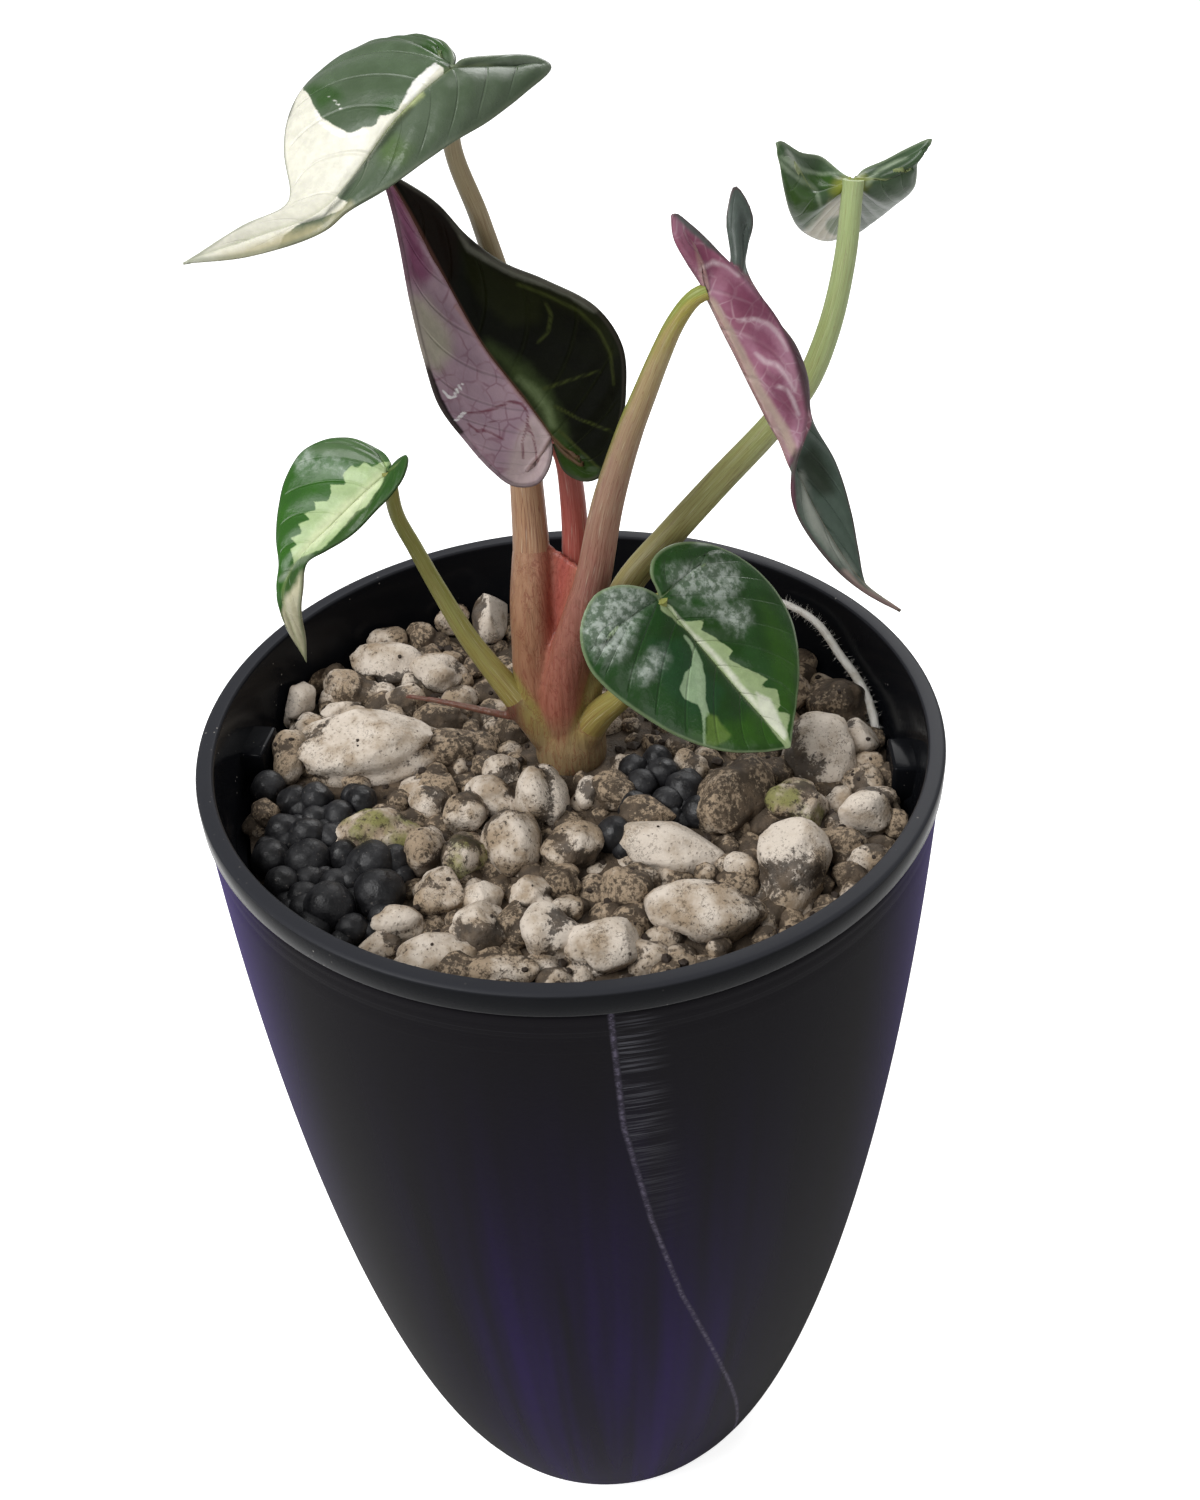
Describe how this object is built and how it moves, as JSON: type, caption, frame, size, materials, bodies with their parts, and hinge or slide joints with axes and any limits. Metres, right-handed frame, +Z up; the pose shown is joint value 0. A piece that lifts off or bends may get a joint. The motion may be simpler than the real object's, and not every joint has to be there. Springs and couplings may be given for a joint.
{
  "type": "potted bambino alocasia",
  "caption": "Young aroid house plant with arrow-shaped green, pink and cream leaves, in pumice in a liner pot hung inside a tall rounded dark cover pot.",
  "frame": {"origin": "centre of the cover pot's flat foot, on the surface it stands on", "axes": "+Z up along the pots' common axis; +X to the right and -Y towards the viewer of the picture, so -Y is the side the front leaf hangs on"},
  "size_m": [0.1, 0.1, 0.2384],
  "materials": {
    "cover_plastic": "semi-gloss, fine horizontal layer lines",
    "liner_plastic": "satin black",
    "pumice_stone": "rough, porous",
    "black_clay": "smooth fired clay",
    "stem_base": "satin plant tissue, matte_plastic stands in",
    "root_white": "fuzzy plant tissue, matte_plastic stands in",
    "petiole_tan": "satin plant tissue, matte_plastic stands in",
    "petiole_crimson": "satin plant tissue, matte_plastic stands in",
    "petiole_rose": "satin plant tissue, matte_plastic stands in",
    "petiole_pale_green": "satin plant tissue, matte_plastic stands in",
    "petiole_yellow_green": "satin plant tissue, matte_plastic stands in",
    "petiole_olive": "satin plant tissue, matte_plastic stands in",
    "leaf_cream_green": "glossy leaf, gloss_plastic stands in",
    "leaf_half_pink": "glossy leaf, gloss_plastic stands in",
    "leaf_rose_underside": "satin leaf underside, matte_plastic stands in",
    "leaf_grey_green_underside": "satin leaf underside, matte_plastic stands in",
    "leaf_bright_green": "glossy leaf, gloss_plastic stands in",
    "leaf_dark_green": "glossy leaf, gloss_plastic stands in"
  },
  "bodies": {
    "root": {"cover_pot": "cover_plastic", "liner_pot": "liner_plastic", "pumice": "pumice_stone", "pellets_left": "black_clay", "pellets_middle": "black_clay", "stem_base": "stem_base", "white_root": "root_white", "petiole_upper_left": "petiole_tan", "petiole_centre": "petiole_crimson", "petiole_hanging_right": "petiole_rose", "petiole_upper_right": "petiole_pale_green", "petiole_left": "petiole_yellow_green", "petiole_front": "petiole_olive", "leaf_upper_left": "leaf_cream_green", "leaf_centre": "leaf_half_pink", "leaf_hanging_right": "leaf_rose_underside", "leaf_upper_right": "leaf_grey_green_underside", "leaf_left": "leaf_bright_green", "leaf_front": "leaf_dark_green"}
  },
  "joints": []
}
